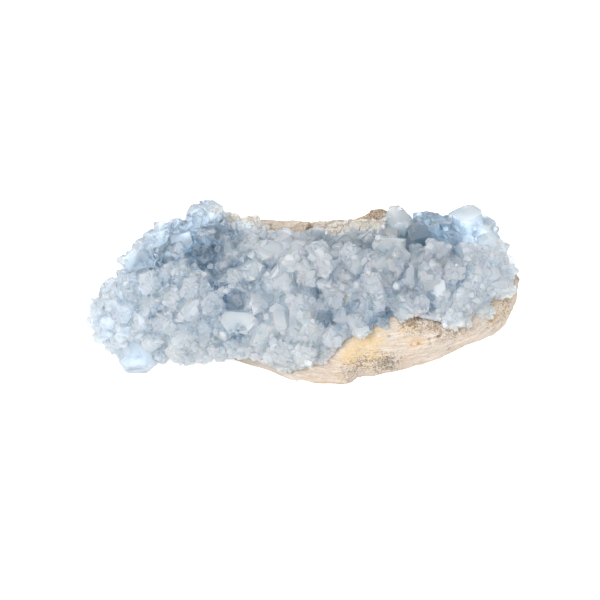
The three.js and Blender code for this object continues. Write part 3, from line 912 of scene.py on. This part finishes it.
def crystal_material(settings):
    """Clear to milky blue crystal with veils, frosted edges partly painted as highlights, painted light and
    shade in its milkiness, and some stone dust.
    """
    kit = NodeKit("celestite_crystal")
    place = kit.place()
    tone = kit.value("tone")
    sugar = kit.noise(place, 0.55, detail=2.0, roughness=0.6)
    clouds = kit.noise(place, 7.0)
    veils = kit.noise(place, 1.3, detail=5.0, roughness=0.65)
    # Edges grow milkier: partly frost on worn edges, partly a painted highlight
    edge = kit.turned_from_face(kit.round_edges(settings.edge_softness))
    # Milkiness with painted light and shade from the tables, pockets and hollows
    milk = kit.value("milk")
    for pattern, low, high, less, more in (
        (clouds, 0.35, 0.65, -0.2, 0.2),
        (veils, 0.35, 0.65, -0.15, 0.15),
        (sugar, 0.3, 0.7, -0.15, 0.15),
        (tone, 0.0, 1.0, -0.1, 0.1),
        (edge, 0.02, 0.3, 0.0, settings.edge_frost_and_highlight),
    ):
        milk = kit.math("ADD", milk, kit.ramp(pattern, low, high, less, more))
    milk = kit.ramp(milk, 0.0, 1.0)
    colour = kit.mix(kit.ramp(milk, 0.0, 0.4), settings.deep, settings.blue)
    colour = kit.over(colour, settings.milky, milk, 0.4, 1.0, 1.0)
    grains = kit.ramp(kit.noise(place, 1.1, detail=4.0, roughness=0.75), 0.3, 0.7, -0.55, 0.25)
    dust = kit.ramp(kit.math("ADD", kit.value("dust"), grains), 0.2, 0.6)
    specks = kit.ramp(kit.noise(place, 0.6, detail=2.0), 0.4, 0.62)
    dust_colour = kit.mix(specks, settings.dust, settings.dark_dust)
    rough = kit.ramp(kit.noise(place, 2.2), 0.3, 0.7, -0.05, 0.08)
    rough = kit.math("ADD", rough, kit.ramp(tone, 0.0, 1.0, settings.gloss, settings.frost))
    clear = kit.ramp(milk, 0.0, 1.0, settings.clearness, settings.clearness_milky)
    clear = kit.math("MULTIPLY", clear, kit.ramp(dust, 0.0, 1.0, 1.0, DUSTY_CLEARNESS))
    shader = {
        "Base Color": kit.mix(kit.math("MULTIPLY", dust, DUST_COVER), colour, dust_colour),
        "Roughness": rough,
        "IOR": CELESTITE_IOR,
        "Transmission Weight": clear,
        "Normal": kit.bump(sugar, 0.08, 0.25),
        "Subsurface Weight": settings.glow,
        "Subsurface Radius": GLOW_RADIUS,
        "Subsurface Scale": GLOW_DEPTH * MM,
        "Coat Weight": settings.polish,
        "Coat Roughness": POLISH_ROUGHNESS,
    }
    inside = {"Color": (*settings.depth_colour, 1.0), "Density": settings.absorption}
    return kit.finish(shader, kit.add("ShaderNodeVolumeAbsorption", inside))


def bedding_lines(kit, place, thickness, length):
    """Noise drawn out along the stone's beds."""
    along, across, _ = kit.add("ShaderNodeSeparateXYZ", {0: place}).outputs
    scaled = ((along, 1 / length), (across, 2 / length), (kit.value("bed"), 1 / thickness))
    inputs = {axis: kit.math("MULTIPLY", *pair) for axis, pair in enumerate(scaled)}
    bedded = kit.add("ShaderNodeCombineXYZ", inputs).outputs[0]
    return kit.noise(bedded, 1.0, detail=4.0, roughness=0.6)


def stained(kit, colour, name, ragged, tint, cover):
    """Lays a stain over a colour, its edge broken up by ragged."""
    reach = kit.math("ADD", kit.value(name), ragged)
    return kit.over(colour, tint, reach, 0.45, 0.75, cover)


def stone_material(settings):
    """Cream bedded limestone with stains, specks and darker pit floors."""
    kit = NodeKit("bedded_limestone")
    place = kit.place()
    broad = bedding_lines(kit, place, 1.5, 26.0)
    fine = bedding_lines(kit, place, 0.45, 9.0)
    hatch = bedding_lines(kit, place, 0.3, 3.5)
    streaks = bedding_lines(kit, place, 0.8, 14.0)
    mottle = kit.noise(place, 1.8, detail=5.0, roughness=0.7)
    grain = kit.noise(place, 0.5, detail=3.0, roughness=0.7)
    colour = kit.mix(kit.ramp(kit.noise(place, 12.0), 0.4, 0.6), settings.cream, settings.beige)
    for tint, pattern, none, full, cover in (
        (settings.tan, broad, 0.52, 0.7, 0.6),
        (settings.tan, fine, 0.54, 0.7, 0.7),
        (settings.pale, fine, 0.47, 0.3, 0.8),
        (settings.brown, hatch, 0.54, 0.68, 0.45),
        (settings.pale, hatch, 0.46, 0.32, 0.6),
        (settings.rust, streaks, 0.58, 0.7, 0.4),
        (settings.weathered, mottle, 0.56, 0.75, 0.5),
    ):
        colour = kit.over(colour, tint, pattern, none, full, cover)
    ragged = kit.ramp(kit.noise(place, 2.0, detail=6.0, roughness=0.8), 0.3, 0.7, -0.7, 0.5)
    ragged = kit.math("ADD", ragged, kit.ramp(fine, 0.35, 0.65, -0.2, 0.2))
    colour = stained(kit, colour, "ochre", ragged, settings.ochre, OCHRE_COVER)
    flecks = kit.ramp(mottle, 0.35, 0.65, -0.45, 0.3)
    flecks = kit.math("ADD", flecks, kit.ramp(fine, 0.35, 0.65, -0.15, 0.15))
    for name in ("rust", "brown", "grey"):
        colour = stained(kit, colour, name, flecks, getattr(settings, name), STAIN_COVER)
    colour = kit.over(colour, settings.brown, grain, 0.55, 0.7, 0.5)
    colour = kit.over(colour, settings.pale, grain, 0.43, 0.3, 0.5)
    for size, gain in ((1.1, 1.0), (0.6, 1.25)):
        many = kit.math("MULTIPLY", kit.value("specks"), SPECK_SHARE * gain)
        many = kit.math("ADD", many, kit.ramp(mottle, 0.4, 0.7, 0.0, 0.17))
        dots = kit.math("SUBTRACT", many, kit.cells(place, size))
        colour = kit.over(colour, settings.speck, dots, 0.0, 0.1, 0.7)
    # Darker colour on the floors of pits and holes
    colour = kit.over(colour, settings.hollow, kit.value("pit"), 0.1, 0.8, 0.8)
    rough = kit.ramp(mottle, 0.3, 0.7, 0.75, 0.95)
    height = kit.math("ADD", kit.math("MULTIPLY", fine, 1.2), grain)
    bump = kit.bump(height, 0.25, 0.9)
    return kit.finish({"Base Color": colour, "Roughness": rough, "Normal": bump})


def floor_material(settings):
    """A pale board that glows a little, as on a light table."""
    kit = NodeKit("pale_board")
    tone = kit.ramp(kit.noise(kit.place(), 60.0), 0.3, 0.7)
    darker = [value * 0.985 for value in settings.floor_colour]
    shader = {
        "Base Color": kit.mix(tone, settings.floor_colour, darker),
        "Roughness": 0.9,
        "Emission Color": (1.0, 1.0, 1.0, 1.0),
        "Emission Strength": settings.floor_glow,
    }
    return kit.finish(shader)


# Settings


def colour_setting(name, description, default):
    return FloatVectorProperty(
        name=name, description=description, default=default, size=3, min=0.0, max=1.0, subtype="COLOR"
    )


def number_setting(name, description, default, least=0.0, most=1000.0, subtype="NONE"):
    return FloatProperty(
        name=name, description=description, default=default, min=least, max=most, subtype=subtype
    )


def share_setting(name, description, default):
    return number_setting(name, description, default, 0.0, 1.0, "FACTOR")


class CrustSettings(bpy.types.PropertyGroup):
    seed: IntProperty(
        name="Seed", description="Number that sets where the small crystals grow", default=7, min=0
    )
    tries: IntProperty(
        name="Tries", description="Places tried for small crystals; fewer find room", default=60000, min=100
    )
    crystal_scale: number_setting("Crystal scale", "Size against the table of widths", 1.0, 0.3, 2.0)
    lean: share_setting("Lean", "How far small crystals lean away from the surface", 0.2)
    sink: number_setting("Sink", "How deep small crystals sit, in their widths", 0.33, 0.0, 0.5)
    clearness: share_setting("Clearness", "Share of the light that passes into clear crystals", 0.97)
    clearness_milky: share_setting("Milky clearness", "Share that passes into milky crystals", 0.73)
    # Painted shade: crystals lose milkiness the deeper they lie in a hollow, so hollows look darker
    hollow_painted_shade: number_setting("Depth tint", "Milkiness lost for each millimetre under the skin", 0.12)
    # Partly frosted worn edges, partly a painted highlight along the crystal edges
    edge_frost_and_highlight: number_setting("Edge frost", "How much milkier the worn edges are", 0.6, 0.0, 2.0)
    polish: share_setting("Polish", "Strength of the gloss on the faces", 0.5)
    glow: share_setting("Glow", "Share of the rest that scatters under the skin", 1.0)
    gloss: share_setting("Gloss", "Roughness of the glossiest faces", 0.36)
    frost: share_setting("Frost", "Roughness of the most frosted faces", 0.55)
    edge_softness: number_setting("Edge softness", "Radius of worn edges, in millimetres", 0.5, 0.0, 2.0)
    absorption: number_setting("Absorption", "How fast light is coloured inside, per metre", 26.0)
    deep: colour_setting("Deep", "Colour of the clearest crystals", (0.33, 0.485, 0.62))
    blue: colour_setting("Blue", "Colour of the pale blue crystals", (0.80, 0.90, 1.0))
    milky: colour_setting("Milky", "Colour of the milky crystals", (0.91, 0.97, 1.0))
    dust: colour_setting("Dust", "Colour of the stone dust on some crystals", (0.46, 0.40, 0.32))
    dark_dust: colour_setting("Dark dust", "Colour of its darker grains", (0.30, 0.235, 0.165))
    depth_colour: colour_setting("Depth", "Colour that light takes on inside", (0.55, 0.72, 0.90))


class StoneSettings(bpy.types.PropertyGroup):
    grain: number_setting("Grain", "Width of the mesh cells, in millimetres", 0.55, 0.3, 3.0)
    ledge_spacing: number_setting("Ledge spacing", "Height of one bed, in millimetres", 2.4, 0.5, 10.0)
    ledge_depth: number_setting("Ledge depth", "How far a bed steps back, in millimetres", 0.7, 0.0, 3.0)
    cream: colour_setting("Cream", "Main colour of the stone", (0.465, 0.42, 0.375))
    beige: colour_setting("Beige", "Second colour of the stone", (0.46, 0.385, 0.32))
    pale: colour_setting("Pale", "Colour of the palest beds", (0.64, 0.585, 0.52))
    tan: colour_setting("Tan", "Colour of the darker beds", (0.40, 0.30, 0.215))
    weathered: colour_setting("Weathered", "Greyish colour of worn patches", (0.37, 0.335, 0.29))
    ochre: colour_setting("Ochre", "Yellow stain beside the crystals", (0.53, 0.40, 0.23))
    rust: colour_setting("Rust", "Orange stain in the beds", (0.48, 0.31, 0.16))
    brown: colour_setting("Brown", "Brown stain", (0.27, 0.19, 0.12))
    grey: colour_setting("Grey", "Weathered grey patches", (0.27, 0.255, 0.215))
    speck: colour_setting("Speck", "Small dark specks", (0.13, 0.09, 0.06))
    # Darker colour laid on the floors of pits and holes
    hollow: colour_setting("Hollow", "Dirt on the floor of pits", (0.20, 0.13, 0.08))


class StageSettings(bpy.types.PropertyGroup):
    elevation: number_setting(
        "Elevation", "Camera's angle over the horizon", math.radians(33.0), 0.0, math.pi / 2, "ANGLE"
    )
    distance: number_setting("Distance", "Camera's distance", 0.4896, subtype="DISTANCE")
    lens: number_setting("Lens", "Focal length, in millimetres", 85.0, 10.0)
    floor_size: number_setting("Floor size", "Side of the floor", 6.0, subtype="DISTANCE")
    floor_colour: colour_setting("Floor", "Colour of the floor", (0.93, 0.93, 0.93))
    floor_glow: number_setting("Floor glow", "Light that comes up through the floor", 0.5)
    sky: number_setting("Sky", "Strength of the even light all round", 1.22)
    lamp: number_setting("Lamp", "Power of the main soft light, in watts", 6.0)


# Operators


class CELESTITE_OT_crust(bpy.types.Operator):
    """Grow the crust of celestite crystals in place of its plain solid"""

    bl_idname = "celestite.crust"
    bl_label = "Crystal crust"

    LEAST_FACES = 1000

    def execute(self, context):
        settings = context.scene.celestite_crust
        mesh = grown_crust(settings)
        if len(mesh.polygons) < self.LEAST_FACES:
            raise RuntimeError("the crystals were not joined to the crust")
        mesh.name = "crystal_crust"
        piece = add_object("crystal_crust", mesh)
        mesh.shade_flat()
        points = vertex_places(mesh)
        # Painted shade: milkiness drops with each millimetre a vertex lies in a hollow, so hollows look
        # darker and bluer
        store_value(mesh, "milk", milkiness_with_painted_light_and_shade(points) - settings.hollow_painted_shade * hollowness(mesh))
        store_value(mesh, "dust", greatest_strength(points, DUSTY_PATCHES))
        mesh.materials.clear()
        mesh.materials.append(crystal_material(settings))
        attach(piece, "root")
        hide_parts("celestite_crust")
        return {"FINISHED"}


class CELESTITE_OT_stone(bpy.types.Operator):
    """Model the worn and bedded limestone in place of its plain solid"""

    bl_idname = "celestite.stone"
    bl_label = "Limestone base"

    def execute(self, context):
        settings = context.scene.celestite_stone
        mesh = worn_stone(settings)
        piece = add_object("limestone_base", mesh)
        mesh.shade_smooth()
        mesh.materials.clear()
        mesh.materials.append(stone_material(settings))
        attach(piece, "root")
        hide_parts("limestone_matrix")
        return {"FINISHED"}


class CELESTITE_OT_stage(bpy.types.Operator):
    """Set up the pale floor, soft light and camera"""

    bl_idname = "celestite.stage"
    bl_label = "Stage"

    TARGET = Vector((-1.03, -8.86, 24.0)) * MM
    SENSOR_WIDTH = 36.0
    SOFTBOX_SIZE = (0.8, 0.6)
    SOFTBOX_PLACE = (-0.35, -0.6, 0.6)

    def execute(self, context):
        settings = context.scene.celestite_stage
        self.add_floor(settings)
        self.add_light(context.scene, settings)
        self.add_camera(context.scene, settings)
        context.scene.view_settings.view_transform = "Standard"
        return {"FINISHED"}

    def add_floor(self, settings):
        half = settings.floor_size / 2
        mesh = bpy.data.meshes.new("floor")
        corners = [(-half, -half, 0), (half, -half, 0), (half, half, 0), (-half, half, 0)]
        mesh.from_pydata(corners, [], [(0, 1, 2, 3)])
        mesh.materials.append(floor_material(settings))
        add_object("floor", mesh)

    def add_light(self, scene, settings):
        world = bpy.data.worlds.new("soft_room")
        world.use_nodes = True
        background = world.node_tree.nodes["Background"]
        background.inputs["Color"].default_value = (1.0, 1.0, 1.0, 1.0)
        background.inputs["Strength"].default_value = settings.sky
        scene.world = world
        light = bpy.data.lights.new("softbox", "AREA")
        light.shape = "RECTANGLE"
        light.size, light.size_y = self.SOFTBOX_SIZE
        light.energy = settings.lamp
        lamp = bpy.data.objects.new("softbox", light)
        lamp.location = self.SOFTBOX_PLACE
        lamp.rotation_euler = (self.TARGET - lamp.location).to_track_quat("-Z", "Y").to_euler()
        scene.collection.objects.link(lamp)

    def add_camera(self, scene, settings):
        camera = bpy.data.cameras.new("camera")
        camera.lens = settings.lens
        camera.sensor_width = self.SENSOR_WIDTH
        viewer = bpy.data.objects.new("camera", camera)
        rise = settings.elevation
        back = Vector((0.0, -math.cos(rise), math.sin(rise)))
        viewer.location = self.TARGET + back * settings.distance
        viewer.rotation_euler = (math.pi / 2 - rise, 0.0, 0.0)
        scene.collection.objects.link(viewer)
        scene.camera = viewer


class CELESTITE_PT_panel(bpy.types.Panel):
    """Sizes and colours of the cluster"""

    bl_idname = "CELESTITE_PT_panel"
    bl_label = "Celestite cluster"
    bl_space_type = "VIEW_3D"
    bl_region_type = "UI"
    bl_category = "Celestite"

    def draw(self, context):
        for group in GROUPS:
            box = self.layout.box()
            settings = getattr(context.scene, group)
            for key in settings.bl_rna.properties.keys():
                if key not in ("rna_type", "name"):
                    box.prop(settings, key)
            box.operator(group.replace("_", "."))


GROUPS = {
    "celestite_crust": CrustSettings,
    "celestite_stone": StoneSettings,
    "celestite_stage": StageSettings,
}
CLASSES = (
    *GROUPS.values(),
    CELESTITE_OT_crust,
    CELESTITE_OT_stone,
    CELESTITE_OT_stage,
    CELESTITE_PT_panel,
)


def register():
    for item in CLASSES:
        bpy.utils.register_class(item)
    for group, settings in GROUPS.items():
        setattr(bpy.types.Scene, group, PointerProperty(type=settings))


def unregister():
    for group in GROUPS:
        delattr(bpy.types.Scene, group)
    for item in reversed(CLASSES):
        bpy.utils.unregister_class(item)


def main():
    register()
    bpy.ops.celestite.stone()
    bpy.ops.celestite.crust()
    bpy.ops.celestite.stage()


if __name__ == "__main__":
    main()
